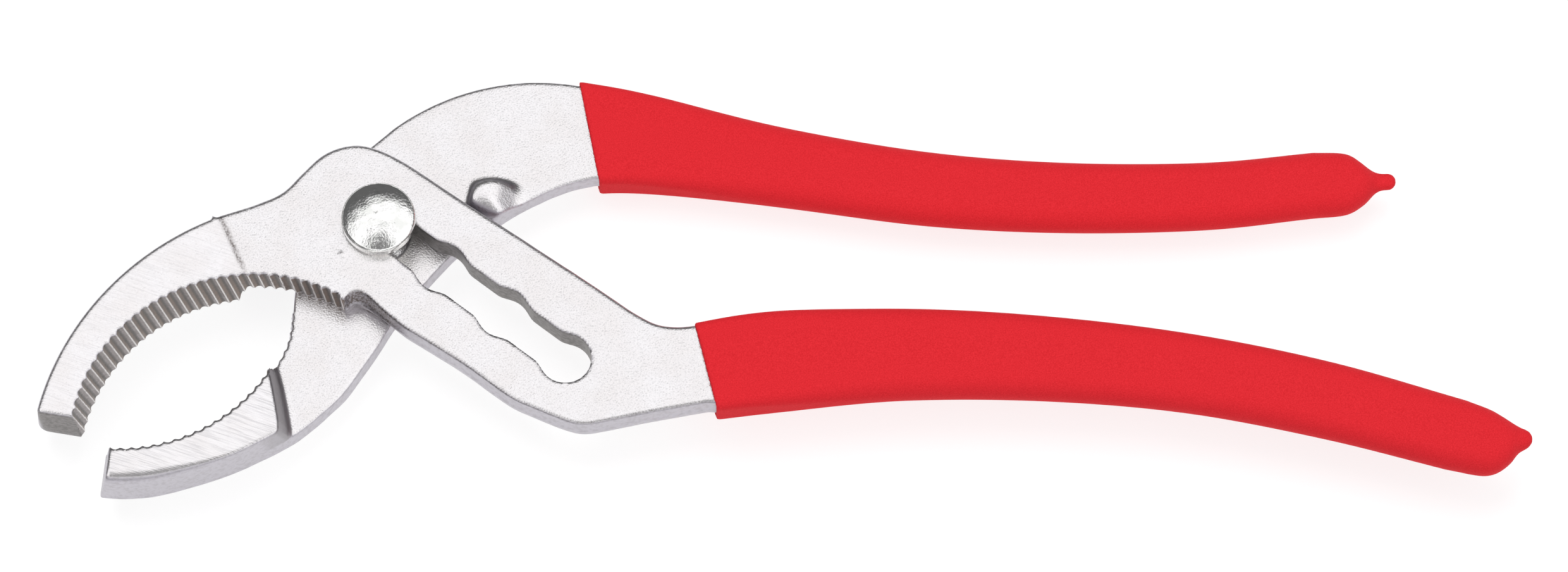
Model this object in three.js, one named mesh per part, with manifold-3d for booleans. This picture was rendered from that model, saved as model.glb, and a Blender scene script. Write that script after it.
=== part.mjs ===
// Slip-joint pliers with wide arched jaws and dipped handles. Millimetres, +Z up.
// The origin is on the pivot's axis, at the flat rear end of the pivot bolt, the lowest point.
// +X runs from the pivot to the handle ends, +Y to the upper handle.
// The slotted lever lies in front (upper layer), the rear lever under it (lower layer).

import * as THREE from "three";
import { mergeVertices } from "three/addons/utils/BufferGeometryUtils.js";
import Module from "manifold-3d";

const wasm = await Module();
wasm.setup();

// Driving dimensions
const plate = 5.8; // thickness of each lever's flat plate
const clearance = 0.3; // running clearance between neighbouring pieces
const rearFace = 4.0; // height of the rear lever's back face
const coat = 0.9; // wall of the dipped grips
const slotAngle = -37.6; // direction of the slot from +X, degrees
const slotPitch = 13.2; // distance between two pivot positions
const slotPositions = 4;
const lobeRadius = 4.3;
const throatHalf = 3.3; // half width of the narrow places between two lobes
const journalRadius = 4.9; // round part of the bolt that the rear lever turns on
const headRadius = 6.2;
const toothPitch = 1.75;
const toothDepth = 0.55;
const mouthCutter = 60; // size of the blocks that trim the grips' open ends

// Levels that follow from the driving dimensions
const rearTop = rearFace + plate;
const slottedBottom = rearTop + clearance;
const slottedTop = slottedBottom + plate;
const headBottom = slottedTop + clearance;
const tangThinning = 0.2; // the tang is this much thinner on each face than the plate

// The two toothed arcs
const upperJaw = { x: -21.7, y: -37.7, radius: 27.8, from: 173.9, to: 63.5 };
const lowerJaw = { x: -42.8, y: -10.7, radius: 29, from: -92.8, to: -33 };
const jawBackRadius = 49.1; // rounded outer side of the upper jaw

const steelLook = { color: 0xc9c8c5, roughness: 0.38, metalness: 1.0 };
const pinLook = { color: 0xd6d6d4, roughness: 0.22, metalness: 1.0 };
const gripLook = { color: 0xe3242b, roughness: 0.42, metalness: 0.0 };

// ---- outlines ----

const xy = (x, y) => new THREE.Vector2(x, y);

function polar(centreX, centreY, radius, degrees) {
  const angle = THREE.MathUtils.degToRad(degrees);
  return xy(centreX + radius * Math.cos(angle), centreY + radius * Math.sin(angle));
}

function smooth(points, steps) {
  return new THREE.SplineCurve(points).getSpacedPoints(steps);
}

function arc(centreX, centreY, radius, from, to, steps) {
  const points = [];
  for (let i = 0; i <= steps; i += 1) {
    points.push(polar(centreX, centreY, radius, from + ((to - from) * i) / steps));
  }
  return points;
}

// Saw-tooth arc: the crests stand towards the arc's centre, where the work is gripped.
function toothedArc(jaw) {
  const sweep = jaw.to - jaw.from;
  const length = jaw.radius * THREE.MathUtils.degToRad(Math.abs(sweep));
  const count = Math.round(length / toothPitch);
  const points = [];
  for (let i = 0; i <= 2 * count; i += 1) {
    const radius = jaw.radius + (i % 2 === 0 ? 0 : toothDepth);
    points.push(polar(jaw.x, jaw.y, radius, jaw.from + (sweep * i) / (2 * count)));
  }
  return points;
}

function withoutRepeats(points) {
  return points.filter((p, i) => p.distanceTo(points[(i + 1) % points.length]) > 0.01);
}

// Moves every side of a closed outline inwards by the same distance.
function inset(points, distance) {
  const turn = THREE.ShapeUtils.isClockWise(points) ? -1 : 1;
  return points.map((p, i) => {
    const before = points[(i + points.length - 1) % points.length];
    const after = points[(i + 1) % points.length];
    const arriving = p.clone().sub(before).normalize();
    const leaving = after.clone().sub(p).normalize();
    const shift = (turn * distance) / (1 + arriving.dot(leaving));
    return xy(p.x - (arriving.y + leaving.y) * shift, p.y + (arriving.x + leaving.x) * shift);
  });
}

// Four round lobes joined by narrow throats, along the slot's direction.
function slotOutline() {
  const throat = THREE.MathUtils.radToDeg(Math.asin(throatHalf / lobeRadius));
  const steps = 8;
  const side = [];
  for (let i = 0; i < slotPositions; i += 1) {
    const from = i === 0 ? 180 : 180 - throat;
    const to = i === slotPositions - 1 ? 0 : throat;
    side.push(...arc(i * slotPitch, 0, lobeRadius, from, to, steps));
  }
  const back = side.slice(1, -1).reverse().map((p) => xy(p.x, -p.y));
  const turn = THREE.MathUtils.degToRad(slotAngle);
  return [...side, ...back].map((p) => p.rotateAround(xy(0, 0), turn));
}

// ---- solids ----

function toSolid(geometry) {
  const bare = geometry.clone();
  bare.deleteAttribute("normal");
  bare.deleteAttribute("uv");
  const merged = mergeVertices(bare, 1e-4);
  return new wasm.Manifold(
    new wasm.Mesh({
      numProp: 3,
      vertProperties: new Float32Array(merged.attributes.position.array),
      triVerts: new Uint32Array(merged.index.array),
    }),
  );
}

function toMesh(name, solid, look) {
  const mesh = solid.getMesh();
  const geometry = new THREE.BufferGeometry();
  geometry.setAttribute("position", new THREE.BufferAttribute(mesh.vertProperties, 3));
  geometry.setIndex(new THREE.BufferAttribute(mesh.triVerts, 1));
  const faceted = geometry.toNonIndexed();
  faceted.computeVertexNormals();
  const result = new THREE.Mesh(faceted, new THREE.MeshStandardMaterial(look));
  result.name = name;
  return result;
}

function prism(outline, low, high, edge = 0, edgeSteps = 2) {
  const geometry = new THREE.ExtrudeGeometry(new THREE.Shape(withoutRepeats(outline)), {
    depth: high - low - 2 * edge,
    bevelEnabled: edge > 0,
    bevelSize: edge,
    bevelThickness: edge,
    bevelOffset: -edge,
    bevelSegments: edgeSteps,
  });
  geometry.translate(0, 0, low + edge);
  return toSolid(geometry);
}

function turned(profile, segments = 40) {
  const geometry = new THREE.LatheGeometry(profile.map(([r, z]) => xy(r, z)), segments);
  geometry.rotateX(Math.PI / 2);
  return toSolid(geometry);
}

// A block whose face passes through two points; it lies on the left of the line from a to b.
function trimBlock(a, b) {
  const along = b.clone().sub(a).normalize();
  const middle = a.clone().add(b).multiplyScalar(0.5);
  const block = new THREE.BoxGeometry(mouthCutter, mouthCutter, mouthCutter);
  block.rotateZ(Math.atan2(along.y, along.x));
  const reach = mouthCutter / 2;
  block.translate(middle.x - along.y * reach, middle.y + along.x * reach, slottedBottom);
  return toSolid(block);
}

// ---- the slotted lever: upper jaw, plate with the slot, lower handle ----

const lowerGripTop = [
  xy(44, -20.2), xy(52.5, -17.9), xy(68, -15.3), xy(91, -14.8),
  xy(114, -16.3), xy(137, -19.4), xy(159.5, -24.3), xy(181.5, -31),
];
const lowerGripEnd = [
  xy(181.5, -31), xy(186.4, -33), xy(189.6, -35.6), xy(190.2, -38.4), xy(188.4, -41.8),
  xy(184.6, -43.7), xy(178, -42.6),
];
const lowerGripBottom = [
  xy(178, -42.6), xy(157.7, -37.2), xy(135.2, -32.7), xy(112.3, -30.6),
  xy(89.2, -30.4), xy(66.3, -32.2), xy(57, -33.2), xy(50, -34.2),
];
const lowerMouth = [xy(56.9, -34), xy(52.4, -16.8)];
const lowerTeat = { x: 188.2, y: -36, angle: -14, length: 4.2 };

function slottedLeverOutline() {
  const back = [
    ...arc(-9, -44.1, jawBackRadius, 167.2, 112, 14),
    ...smooth([
      xy(-26.1, 1.7), xy(-20.3, 3.5), xy(-16.1, 5.5), xy(-12.9, 8.8), xy(-9.4, 12.1),
      xy(-5.1, 13.7), xy(-1, 13.2), xy(4.5, 10.4), xy(13.5, 4.1),
    ], 20),
    ...smooth([xy(13.5, 4.1), xy(30.1, -7.4), xy(42.3, -16), xy(46.5, -18.1), xy(51.6, -18.7)], 14),
  ];
  const front = [
    xy(55.4, -32.1), xy(46.1, -33.7), xy(38.5, -35.3), xy(34.9, -36), xy(32.6, -35.7),
    ...smooth([xy(30.4, -34.8), xy(21.9, -30.9), xy(14.4, -25.1), xy(6.5, -19.9), xy(-3.2, -14.6)], 10),
  ];
  return [...toothedArc(upperJaw).reverse(), ...back, ...front];
}

function upperJawRearOutline() {
  const teeth = toothedArc({ ...upperJaw, to: 92 }).reverse();
  return [...teeth, ...arc(-9, -44.1, jawBackRadius, 167.2, 112, 14)];
}

function lowerGripOutline() {
  return [
    ...smooth(lowerGripTop, 18),
    ...smooth(lowerGripEnd, 14),
    ...smooth(lowerGripBottom, 18),
  ];
}

// The steel's own outline inside a grip: the two long sides, closed by a straight end.
function coreOutline(top, bottom, distance) {
  return inset(withoutRepeats([...smooth(top, 18), ...smooth(bottom, 18)]), distance);
}

// The drop of plastic left at a dipped grip's end.
function gripTeat(teat, level) {
  const radius = 1.9;
  const profile = [new THREE.Vector2(0, -radius), new THREE.Vector2(radius, -radius)];
  for (let i = 0; i <= 4; i += 1) {
    const angle = (i / 4) * (Math.PI / 2);
    const reach = teat.length - radius + radius * Math.sin(angle);
    profile.push(new THREE.Vector2(i === 4 ? 0 : radius * Math.cos(angle), reach));
  }
  const geometry = new THREE.LatheGeometry(profile, 16);
  geometry.rotateZ(THREE.MathUtils.degToRad(teat.angle) - Math.PI / 2);
  geometry.translate(teat.x, teat.y, level);
  return toSolid(geometry);
}

function gripSleeve(outline, core, mouth, teat, low, high) {
  const outer = prism(outline, low - coat, high + coat, 2.4, 3);
  const hollow = prism(core, low, high, 1.5, 2);
  return outer
    .add(gripTeat(teat, (low + high) / 2))
    .subtract(hollow)
    .subtract(trimBlock(mouth[0], mouth[1]));
}

function tang(core, low, high) {
  return prism(core, low, high, 1.2, 2);
}

function slottedLever() {
  const slot = prism(slotOutline(), slottedBottom - 1, slottedTop + 1);
  const root = trimBlock(xy(46, -50), xy(46, 0));
  const core = coreOutline(lowerGripTop, lowerGripBottom, coat + clearance);
  const handle = tang(core, slottedBottom + tangThinning, slottedTop - tangThinning);
  const solid = prism(slottedLeverOutline(), slottedBottom, slottedTop)
    .add(prism(upperJawRearOutline(), rearFace, slottedTop))
    .add(handle.subtract(root))
    .subtract(slot);
  return toMesh("slotted_lever", solid, steelLook);
}

function slottedLeverGrip() {
  const low = slottedBottom + tangThinning - clearance;
  const high = slottedTop - tangThinning + clearance;
  const core = coreOutline(lowerGripTop, lowerGripBottom, coat);
  const sleeve = gripSleeve(lowerGripOutline(), core, lowerMouth, lowerTeat, low, high);
  return toMesh("slotted_lever_grip", sleeve, gripLook);
}

// ---- the rear lever: lower jaw, plate, stop boss, upper handle ----

const upperGripTop = [
  xy(26, 28.6), xy(35, 27.4), xy(46.6, 25.2), xy(69.3, 19.6), xy(92.2, 15.5),
  xy(115, 13.6), xy(138.7, 13.6), xy(157, 15.4),
];
const upperGripEnd = [
  xy(157, 15.4), xy(162.4, 15.3), xy(166.4, 13.2), xy(168.6, 10.4), xy(167, 7.3),
  xy(162.5, 5), xy(157, 4.2),
];
const upperGripBottom = [
  xy(157, 4.2), xy(138.7, 2.1), xy(115, 1.6), xy(92.2, 2.8), xy(69.3, 5.9),
  xy(46.6, 8.9), xy(36, 9.2), xy(28, 8),
];
const upperMouth = [xy(36.8, 8.6), xy(33, 28)];
const upperTeat = { x: 167.5, y: 10.1, angle: 4, length: 3.8 };
const stopBoss = { x: 19, y: 6.4, long: 4.6, short: 3.2, angle: 25, height: 3.4 };

function rearLeverOutline() {
  const outer = [
    xy(-45.8, -45),
    ...smooth([
      xy(-44.2, -45.6), xy(-36.5, -45.3), xy(-28, -43.3), xy(-19.7, -39.9), xy(-11.6, -34.9),
      xy(-4.9, -28), xy(0.7, -20.1), xy(5.7, -11.7), xy(12.5, -3.4), xy(20.2, 2.8),
      xy(28.5, 7.3), xy(36, 9.4),
    ], 36),
  ];
  const inner = [
    xy(32.5, 26.6),
    ...arc(26.2, -11.9, 39.3, 82, 128, 12),
    ...smooth([xy(2, 19), xy(-6.5, 11), xy(-12.3, 0.5), xy(-14.1, -11), xy(-14.6, -18.1)], 10),
    xy(-16.3, -22.2), xy(-17.2, -24.6),
  ];
  return [...outer, ...inner, ...toothedArc(lowerJaw).reverse()];
}

function lowerJawFrontOutline() {
  return [
    xy(-45.8, -45),
    ...smooth([xy(-44.2, -45.6), xy(-36.5, -45.2), xy(-28, -42.8), xy(-20.1, -39.2)], 8),
    xy(-16.2, -37), xy(-16.6, -33), xy(-17.5, -28.4),
    ...toothedArc(lowerJaw).reverse(),
  ];
}

function upperGripOutline() {
  return [
    ...smooth(upperGripTop, 16),
    ...smooth(upperGripEnd, 16),
    ...smooth(upperGripBottom, 16),
  ];
}

function bossOutline() {
  const ellipse = new THREE.EllipseCurve(
    stopBoss.x, stopBoss.y, stopBoss.long, stopBoss.short,
    0, 2 * Math.PI, false, THREE.MathUtils.degToRad(stopBoss.angle),
  );
  return ellipse.getPoints(20).slice(0, -1);
}

function rearLever() {
  const boreRadius = journalRadius + clearance - 0.05;
  const bore = prism(arc(0, 0, boreRadius, 0, 360, 40), rearFace - 1, rearTop + 1);
  const root = trimBlock(xy(31, 0), xy(31, 40));
  const core = coreOutline(upperGripTop, upperGripBottom, coat + clearance);
  const handle = tang(core, rearFace + tangThinning, rearTop - tangThinning);
  const boss = prism(bossOutline(), rearTop - 1, rearTop + stopBoss.height, 0.8, 2);
  const solid = prism(rearLeverOutline(), rearFace, rearTop)
    .add(prism(lowerJawFrontOutline(), rearFace, slottedTop))
    .add(handle.subtract(root))
    .add(boss)
    .subtract(bore);
  return toMesh("rear_lever", solid, steelLook);
}

function rearLeverGrip() {
  const low = rearFace + tangThinning - clearance;
  const high = rearTop - tangThinning + clearance;
  const core = coreOutline(upperGripTop, upperGripBottom, coat);
  const sleeve = gripSleeve(upperGripOutline(), core, upperMouth, upperTeat, low, high);
  return toMesh("rear_lever_grip", sleeve, gripLook);
}

// ---- the pivot: headed bolt with a flatted neck, and its nut at the back ----

function pivotBolt() {
  const tailRadius = 4;
  const rimHeight = 2.1;
  const domeHeight = 1.5;
  const dome = [];
  for (let i = 0; i <= 6; i += 1) {
    const angle = (i / 6) * (Math.PI / 2);
    dome.push([(headRadius - 0.25) * Math.cos(angle), headBottom + rimHeight + domeHeight * Math.sin(angle)]);
  }
  dome[6][0] = 0;
  const body = turned([
    [0, 0], [tailRadius - 0.4, 0], [tailRadius, 0.4], [tailRadius, rearFace - 0.1],
    [journalRadius, rearFace - 0.1], [journalRadius, rearTop + 0.15], [tailRadius, rearTop + 0.15],
    [tailRadius, headBottom], [headRadius, headBottom], [headRadius, headBottom + rimHeight - 0.3],
    ...dome,
  ]);
  const turn = THREE.MathUtils.degToRad(slotAngle);
  const flatHalf = throatHalf - clearance;
  const neckHeight = headBottom - rearTop - 0.15;
  const flats = [-1, 1].map((side) => {
    const block = new THREE.BoxGeometry(20, 4, neckHeight);
    block.translate(0, side * (flatHalf + 2), rearTop + 0.15 + neckHeight / 2);
    block.rotateZ(turn);
    return toSolid(block);
  });
  return toMesh("pivot_bolt", body.subtract(flats[0]).subtract(flats[1]), pinLook);
}

function pivotNut() {
  const nutAcrossFlats = 13;
  const low = 0.5;
  const high = rearFace - clearance;
  const hexRadius = nutAcrossFlats / Math.sqrt(3);
  const solid = prism(arc(0, 0, hexRadius, 0, 300, 5), low, high)
    .subtract(prism(arc(0, 0, 4 + clearance, 0, 360, 40), low - 1, high + 1));
  return toMesh("pivot_nut", solid, steelLook);
}

const pliers = new THREE.Group();
pliers.add(slottedLever());
pliers.add(slottedLeverGrip());
pliers.add(rearLever());
pliers.add(rearLeverGrip());
pliers.add(pivotBolt());
pliers.add(pivotNut());

export default pliers;
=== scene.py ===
"""Slip-joint pliers with wide arched jaws and dipped handles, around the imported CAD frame.

The two levers and the grips are carved from distance fields, so that forging drafts, fillets, flash
ridges, tooth grooves and the drops at the grips' ends are real geometry. The bolt and nut are turned.
Lengths in this script are millimetres in the CAD frame; meshes are written in metres.
"""

import math

import bpy
import numpy as np
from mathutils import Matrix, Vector


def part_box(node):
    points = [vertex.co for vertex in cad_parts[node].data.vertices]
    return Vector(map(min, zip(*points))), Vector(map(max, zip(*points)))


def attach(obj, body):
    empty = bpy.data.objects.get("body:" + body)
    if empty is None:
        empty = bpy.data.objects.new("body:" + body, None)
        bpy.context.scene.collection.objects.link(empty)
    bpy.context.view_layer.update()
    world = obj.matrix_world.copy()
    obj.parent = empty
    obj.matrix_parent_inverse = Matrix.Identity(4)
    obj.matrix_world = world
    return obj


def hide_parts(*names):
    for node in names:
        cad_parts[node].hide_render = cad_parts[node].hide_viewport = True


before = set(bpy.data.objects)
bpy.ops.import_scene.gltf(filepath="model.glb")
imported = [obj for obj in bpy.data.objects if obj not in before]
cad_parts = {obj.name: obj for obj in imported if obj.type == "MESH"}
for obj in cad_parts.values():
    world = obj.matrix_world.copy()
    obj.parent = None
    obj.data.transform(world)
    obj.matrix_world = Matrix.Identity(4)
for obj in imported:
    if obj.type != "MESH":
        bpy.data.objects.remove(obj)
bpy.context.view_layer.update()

MM = 0.001
TINY = 1e-9

# ---------------------------------------------------------------- levels taken from the frame


def level(node, corner):
    """Height of a CAD node's lowest (0) or highest (1) corner, in millimetres."""
    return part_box(node)[corner].z / MM


BACK = level("rear_lever", 0)  # back face of the rear lever
FRONT = level("slotted_lever", 1)  # front face of the slotted lever and of both jaws
MIDDLE = (BACK + FRONT) / 2  # where the two levers meet
SEAM = 0.05  # half of the hairline gap between the levers
HEAD_BASE = FRONT + 0.08  # underside of the bolt's head

# ---------------------------------------------------------------- plane curves


def through(points, per_span=8):
    """Smooth curve through the points (Catmull-Rom)."""
    p = np.asarray(points, float)
    p = np.vstack([2 * p[0] - p[1], p, 2 * p[-1] - p[-2]])
    t = np.linspace(0, 1, per_span, endpoint=False)[:, None]
    spans = []
    for a, b, c, d in zip(p[:-3], p[1:-2], p[2:-1], p[3:]):
        square = 2 * a - 5 * b + 4 * c - d
        cube = 3 * b - a - 3 * c + d
        spans.append(0.5 * (2 * b + (c - a) * t + square * t**2 + cube * t**3))
    spans.append(p[-2][None, :])
    return np.vstack(spans)


def on_circle(centre, radius, degrees):
    """Points around a centre, at one radius or at one for each angle."""
    angle = np.radians(degrees)
    return np.column_stack([centre[0] + radius * np.cos(angle), centre[1] + radius * np.sin(angle)])


def arc(centre, radius, start, end, count):
    """Points on a circle between two angles in degrees."""
    return on_circle(centre, radius, np.linspace(start, end, count))


def moved(line, distance):
    """A curve moved to the left of its direction, by one distance or by one for each point."""
    along = np.gradient(line, axis=0)
    along /= np.linalg.norm(along, axis=1, keepdims=True)
    return line + np.column_stack([-along[:, 1], along[:, 0]]) * distance


def signed_distance(outline, x, y):
    """Distance from each grid point to a closed outline, negative inside."""
    nearest = np.full(x.shape, 1e9)
    inside = np.zeros(x.shape, bool)
    for (ax, ay), (bx, by) in zip(outline, np.roll(outline, -1, axis=0)):
        ex, ey = bx - ax, by - ay
        length2 = ex * ex + ey * ey
        if length2 < TINY:
            continue
        px, py = x - ax, y - ay
        t = np.clip((px * ex + py * ey) / length2, 0, 1)
        nearest = np.minimum(nearest, (px - t * ex) ** 2 + (py - t * ey) ** 2)
        if ay != by:
            crosses = (ay > y) != (by > y)
            inside ^= crosses & (x < ax + (y - ay) * ex / ey)
    distance = np.sqrt(nearest)
    return np.where(inside, -distance, distance)


def side_of(point, direction, x, y):
    """Signed distance to a straight line, positive on the right of its direction."""
    ux, uy = np.asarray(direction, float) / np.hypot(*direction)
    return (x - point[0]) * uy - (y - point[1]) * ux


def turned_axes(x, y, angle):
    """Coordinates along and across a direction at an angle in radians."""
    along = x * math.cos(angle) + y * math.sin(angle)
    across = -x * math.sin(angle) + y * math.cos(angle)
    return along, across


# ---------------------------------------------------------------- blends of fields


def soft_max(a, b, k):
    """Intersection of two solids with the edge rounded over about k."""
    blend = np.maximum(k - np.abs(a - b), 0)
    return np.maximum(a, b) + blend * blend / (4 * k)


def soft_min(a, b, k):
    """Union of two solids with a fillet of about k."""
    return -soft_max(-a, -b, k)


def ramp(value, low, high):
    """0 below low, 1 above high, smooth between."""
    t = np.clip((value - low) / (high - low), 0, 1)
    return t * t * (3 - 2 * t)


def bell(value, width):
    """1 at zero, falling off smoothly on both sides over about a width."""
    return np.exp(-((value / width) ** 2))


def spot(x, y, centre, width2):
    """1 at a centre, falling off smoothly around it; width2 is the square of the width."""
    return np.exp(-((x - centre[0]) ** 2 + (y - centre[1]) ** 2) / width2)


# ---------------------------------------------------------------- meshes

PULLS = 3  # times that the vertices are pulled onto the surface
LONGEST_PULL = 0.1
LEAST_SLOPE = 0.2  # square of a field's slope under which a pull is held back
SLOPE_REACH = 0.12  # how far to both sides a slope is measured
SHARP_FORGED = 35  # degrees between faces over which an edge of a forging is shaded sharp
SHARP_NUT = 25


def surface_net(field, xs, ys, zs):
    """Quad mesh of the field's zero level: one vertex in each crossed cell of the grid."""
    shape = np.array(field.shape)
    axes = (xs, ys, zs)
    strides = np.array([shape[1] * shape[2], shape[2], 1])
    cell_ids = []
    places = []
    quads = []
    for axis in range(3):
        low = [slice(None)] * 3
        high = [slice(None)] * 3
        low[axis] = slice(None, -1)
        high[axis] = slice(1, None)
        before, after = field[tuple(low)], field[tuple(high)]
        index = np.argwhere((before < 0) != (after < 0))
        f0 = before[tuple(index.T)]
        f1 = after[tuple(index.T)]
        t = f0 / (f0 - f1)
        place = np.column_stack([axes[a][index[:, a]] for a in range(3)]).astype(float)
        place[:, axis] += t * (axes[axis][index[:, axis] + 1] - axes[axis][index[:, axis]])
        u, v = [a for a in range(3) if a != axis]
        base = index @ strides
        around = []
        for du, dv in ((1, 1), (0, 1), (0, 0), (1, 0)):
            cell = base - du * strides[u] - dv * strides[v]
            around.append(cell)
            cell_ids.append(cell)
            places.append(place)
        quad = np.column_stack(around)
        turned = (f0 < 0) == (axis != 1)
        quad[~turned] = quad[~turned][:, ::-1]
        quads.append(quad)
    cells, inverse = np.unique(np.concatenate(cell_ids), return_inverse=True)
    places = np.vstack(places)
    count = np.bincount(inverse)
    vertices = np.column_stack([np.bincount(inverse, places[:, a]) / count for a in range(3)])
    faces = np.searchsorted(cells, np.vstack(quads))
    return vertices, faces


def sample(field, xs, ys, zs, p):
    """Field value at points, interpolated between the grid's corners."""
    cells = []
    parts = []
    for a, axis in enumerate((xs, ys, zs)):
        where = np.interp(p[:, a], axis, np.arange(len(axis)))
        cell = np.clip(where.astype(int), 0, len(axis) - 2)
        cells.append(cell)
        parts.append(where - cell)
    (i, j, k), (a, b, c) = cells, parts
    value = 0
    for di, wi in ((0, 1 - a), (1, a)):
        for dj, wj in ((0, 1 - b), (1, b)):
            for dk, wk in ((0, 1 - c), (1, c)):
                value = value + field[i + di, j + dj, k + dk] * wi * wj * wk
    return value


def gradient(field, xs, ys, zs, p):
    """Slope of the field along the three axes at points."""
    parts = []
    for a in range(3):
        step = np.zeros(3)
        step[a] = SLOPE_REACH
        ahead = sample(field, xs, ys, zs, p + step)
        behind = sample(field, xs, ys, zs, p - step)
        parts.append((ahead - behind) / (2 * SLOPE_REACH))
    return np.column_stack(parts)


def carve(field, xs, ys, zs):
    """Mesh of a distance field, with its vertices pulled onto the zero level."""
    field = np.ascontiguousarray(field, np.float32)
    vertices, faces = surface_net(field, xs, ys, zs)
    slope = gradient(field, xs, ys, zs, vertices)
    for _ in range(PULLS):
        value = sample(field, xs, ys, zs, vertices)
        steep = np.maximum((slope**2).sum(1), LEAST_SLOPE)
        move = -(value / steep)[:, None] * slope
        size = np.linalg.norm(move, axis=1, keepdims=True)
        vertices += move * np.minimum(1, LONGEST_PULL / np.maximum(size, TINY))
        slope = gradient(field, xs, ys, zs, vertices)
    normals = slope / np.maximum(np.linalg.norm(slope, axis=1, keepdims=True), TINY)
    return vertices, faces, normals


def stepped_axis(*spans):
    """Grid lines over (from, to, step) spans: fine where there is detail, coarser elsewhere."""
    return np.concatenate([np.arange(low, high, step) for low, high, step in spans]).astype(np.float32)


def spread_out(xs, ys, zs):
    """Coordinates for plane fields (x2, y2) and, shaped to broadcast, for solid ones (x, y, z)."""
    x2, y2 = np.meshgrid(xs, ys, indexing="ij")
    return x2, y2, x2[:, :, None], y2[:, :, None], zs[None, None, :]


def add_piece(name, vertices, faces, body, node, material, masks=None, sharp_angle=None):
    """Mesh object in metres that rides on a body and stands for a CAD node."""
    mesh = bpy.data.meshes.new(name)
    mesh.from_pydata((np.asarray(vertices) * MM).tolist(), [], [list(map(int, face)) for face in faces])
    for mask_name, values in (masks or {}).items():
        attribute = mesh.attributes.new(mask_name, "FLOAT", "POINT")
        attribute.data.foreach_set("value", np.asarray(values, np.float32))
    mesh.validate()
    mesh.shade_smooth()
    if sharp_angle:
        mesh.set_sharp_from_angle(angle=math.radians(sharp_angle))
    piece = bpy.data.objects.new(name, mesh)
    bpy.context.scene.collection.objects.link(piece)
    piece.data.materials.append(material)
    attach(piece, body)
    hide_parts(node)
    return piece


# ---------------------------------------------------------------- teeth

TOOTH_PITCH = 1.78
UPPER_ARC = {
    "centre": (-21.7, -37.7), "radius": 27.75, "flare": 0.85,
    "start": 57.5, "end": 173.9, "depth": 0.6, "skew": 1.7,
}
LOWER_ARC = {
    "centre": (-42.8, -10.7), "radius": 28.9, "flare": 0.0,
    "start": -92.8, "end": -32.0, "depth": 0.4, "skew": -1.2,
}
MOUTH_POINTS = 90
INTO_MOUTH = 1.2  # how far a lever's outline runs inside the crests, where the toothed arc cuts it
GROOVE_POWER = 0.9  # under 1 makes the grooves wider than the crests
FIELD_SLOPE = 0.85  # under 1 because the grooves steepen the field


def tooth_line(teeth, angle):
    """Radius of the crests at an angle: a circle that opens slightly towards both ends."""
    middle = (teeth["start"] + teeth["end"]) / 2
    half = (teeth["end"] - teeth["start"]) / 2
    return teeth["radius"] + teeth["flare"] * ((angle - middle) / half) ** 2


def mouth_line(teeth, before, after):
    """Plane curve just inside the mouth, past both ends of the teeth by angles in degrees."""
    angle = np.linspace(teeth["start"] - before, teeth["end"] + after, MOUTH_POINTS)
    return on_circle(teeth["centre"], tooth_line(teeth, angle) - INTO_MOUTH, angle)


def tooth_phase(teeth, angle, depth_in):
    """Count of grooves passed along the arc; whole numbers are crests."""
    sweep = teeth["end"] - teeth["start"]
    count = round(teeth["radius"] * math.radians(sweep) / TOOTH_PITCH)
    return (angle - teeth["start"]) / sweep * count + teeth["skew"] * depth_in / TOOTH_PITCH


def around_arc(teeth, x, y, z):
    """Distance and angle from the arc's centre, and depth from the front face (0) to the back (1)."""
    dx = x - teeth["centre"][0]
    dy = y - teeth["centre"][1]
    return np.hypot(dx, dy), np.degrees(np.arctan2(dy, dx)), (FRONT - z) / (FRONT - BACK)


def phase_at(teeth, x, y, z):
    """Tooth phase at points, for the material's colours."""
    _, angle, depth_in = around_arc(teeth, x, y, z)
    return tooth_phase(teeth, angle, depth_in)


def toothed_field(teeth, x, y, z, lean):
    """Distance past a toothed arc: positive in the mouth, where the jaw has no metal.

    The arc's skew is how far the grooves run along it from the front face to the back; lean is how
    far the back edge of the arc stands further into the mouth, as a function of the angle.
    """
    from_centre, angle, depth_in = around_arc(teeth, x, y, z)
    start, end = teeth["start"], teeth["end"]
    groove = (np.abs(np.sin(np.pi * tooth_phase(teeth, angle, depth_in))) ** GROOVE_POWER) * teeth["depth"]
    grooved = ramp(angle, start - 0.5, start + 0.8) * (1 - ramp(angle, end - 1.2, end))
    edge = tooth_line(teeth, angle) + groove * grooved - lean(angle) * depth_in
    beyond = np.maximum(start - 1.5 - angle, angle - end - 9)
    return (edge - from_centre) * FIELD_SLOPE - 3 * ramp(beyond, 0, 1.5)


def near_teeth(mouth):
    """1 at the toothed surface and 0 from 2 mm away, where the forging's own surface shows."""
    return 1 - ramp(np.abs(mouth), 0.4, 2.0)


def on_teeth(mouth):
    """1 on the toothed surface itself, for the material."""
    return 1 - ramp(np.abs(mouth), 0.08, 0.35)


# ---------------------------------------------------------------- what both forgings share

CRISP = 0.16  # edge rounding where a forging is machined: teeth and slot
DEEP_INSIDE = -50  # field value where a surface has no say
STEP_LEAN = 0.27  # how far the jaws' step walls lean for each millimetre of height
PARTING = 0.2  # how far the trimmed flash stands out
FLASH_WIDTH = 0.34
STEEL_IN_GRIP = 1.1  # how deep the steel lies under the grip's skin
FINE = 0.27  # grid step at the teeth
PLAIN = 0.42  # grid step over plain faces
TANG = 1.5  # grid step along the tang inside the grip
LEVEL_STEP = 0.28
GRID_MARGIN = (0.7, 0.9)  # grid past the back and the front face
LEVELS = stepped_axis((BACK - GRID_MARGIN[0], FRONT + GRID_MARGIN[1], LEVEL_STEP))


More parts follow.
